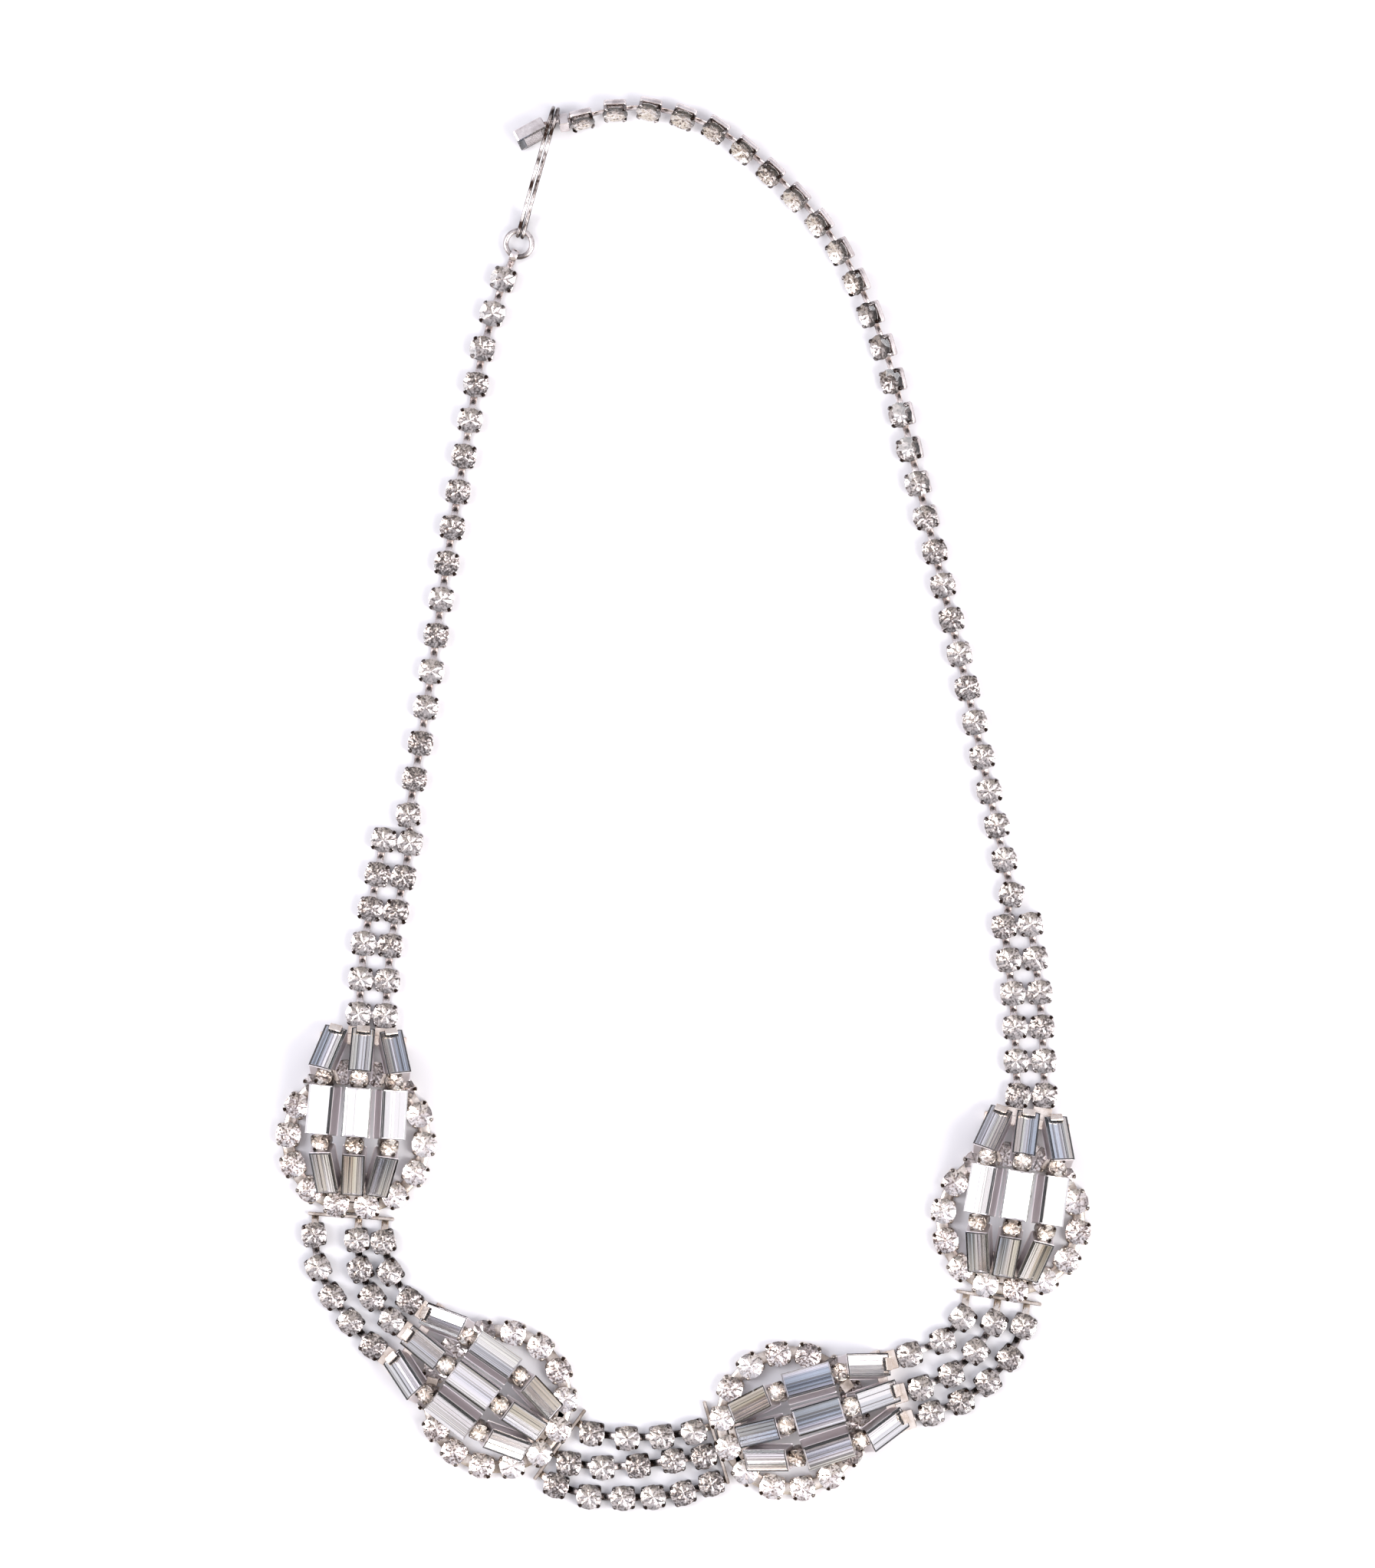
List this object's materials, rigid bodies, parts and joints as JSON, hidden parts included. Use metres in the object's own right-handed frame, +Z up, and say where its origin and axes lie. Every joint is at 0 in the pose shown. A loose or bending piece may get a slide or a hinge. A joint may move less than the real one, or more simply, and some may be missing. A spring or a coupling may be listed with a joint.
{
  "type": "rhinestone choker",
  "caption": "Choker that closes with a hook and ring: chains of cup-set round stones join domed clusters of long and round stones, all lying flat in a closed loop.",
  "frame": {"origin": "middle of the choker's bounding box, on the plane it lies on", "axes": "+X to the right as the choker lies face up with its clasp at the far end, +Y along the loop towards the clasp, +Z up from the plane it lies on"},
  "size_m": [0.0981, 0.1702, 0.0072],
  "materials": {
    "rhodium_plated_metal": "polished",
    "pale_rhodium_metal": "polished",
    "foiled_crystal": "faceted"
  },
  "bodies": {
    "root": {"hook_clasp": "rhodium_plated_metal", "clasp_ring": "rhodium_plated_metal", "ring_link": "rhodium_plated_metal", "tail_end": "rhodium_plated_metal", "left_back_chain": "rhodium_plated_metal", "right_back_chain": "rhodium_plated_metal", "left_double_row": "rhodium_plated_metal", "right_double_row": "rhodium_plated_metal", "left_strands": "rhodium_plated_metal", "centre_strands": "rhodium_plated_metal", "right_strands": "rhodium_plated_metal", "dome_1_setting": "pale_rhodium_metal", "dome_2_setting": "pale_rhodium_metal", "dome_3_setting": "pale_rhodium_metal", "dome_4_setting": "pale_rhodium_metal", "dome_1_halo_stones": "foiled_crystal", "dome_2_halo_stones": "foiled_crystal", "dome_3_halo_stones": "foiled_crystal", "dome_4_halo_stones": "foiled_crystal", "dome_1_round_stones": "foiled_crystal", "dome_2_round_stones": "foiled_crystal", "dome_3_round_stones": "foiled_crystal", "dome_4_round_stones": "foiled_crystal", "dome_1_left_neck_stone": "foiled_crystal", "dome_1_left_belly_stone": "foiled_crystal", "dome_1_left_lower_stone": "foiled_crystal", "dome_1_middle_neck_stone": "foiled_crystal", "dome_1_middle_belly_stone": "foiled_crystal", "dome_1_middle_lower_stone": "foiled_crystal", "dome_1_right_neck_stone": "foiled_crystal", "dome_1_right_belly_stone": "foiled_crystal", "dome_1_right_lower_stone": "foiled_crystal", "dome_2_left_neck_stone": "foiled_crystal", "dome_2_left_belly_stone": "foiled_crystal", "dome_2_left_lower_stone": "foiled_crystal", "dome_2_middle_neck_stone": "foiled_crystal", "dome_2_middle_belly_stone": "foiled_crystal", "dome_2_middle_lower_stone": "foiled_crystal", "dome_2_right_neck_stone": "foiled_crystal", "dome_2_right_belly_stone": "foiled_crystal", "dome_2_right_lower_stone": "foiled_crystal", "dome_3_left_neck_stone": "foiled_crystal", "dome_3_left_belly_stone": "foiled_crystal", "dome_3_left_lower_stone": "foiled_crystal", "dome_3_middle_neck_stone": "foiled_crystal", "dome_3_middle_belly_stone": "foiled_crystal", "dome_3_middle_lower_stone": "foiled_crystal", "dome_3_right_neck_stone": "foiled_crystal", "dome_3_right_belly_stone": "foiled_crystal", "dome_3_right_lower_stone": "foiled_crystal", "dome_4_left_neck_stone": "foiled_crystal", "dome_4_left_belly_stone": "foiled_crystal", "dome_4_left_lower_stone": "foiled_crystal", "dome_4_middle_neck_stone": "foiled_crystal", "dome_4_middle_belly_stone": "foiled_crystal", "dome_4_middle_lower_stone": "foiled_crystal", "dome_4_right_neck_stone": "foiled_crystal", "dome_4_right_belly_stone": "foiled_crystal", "dome_4_right_lower_stone": "foiled_crystal"}
  },
  "joints": []
}
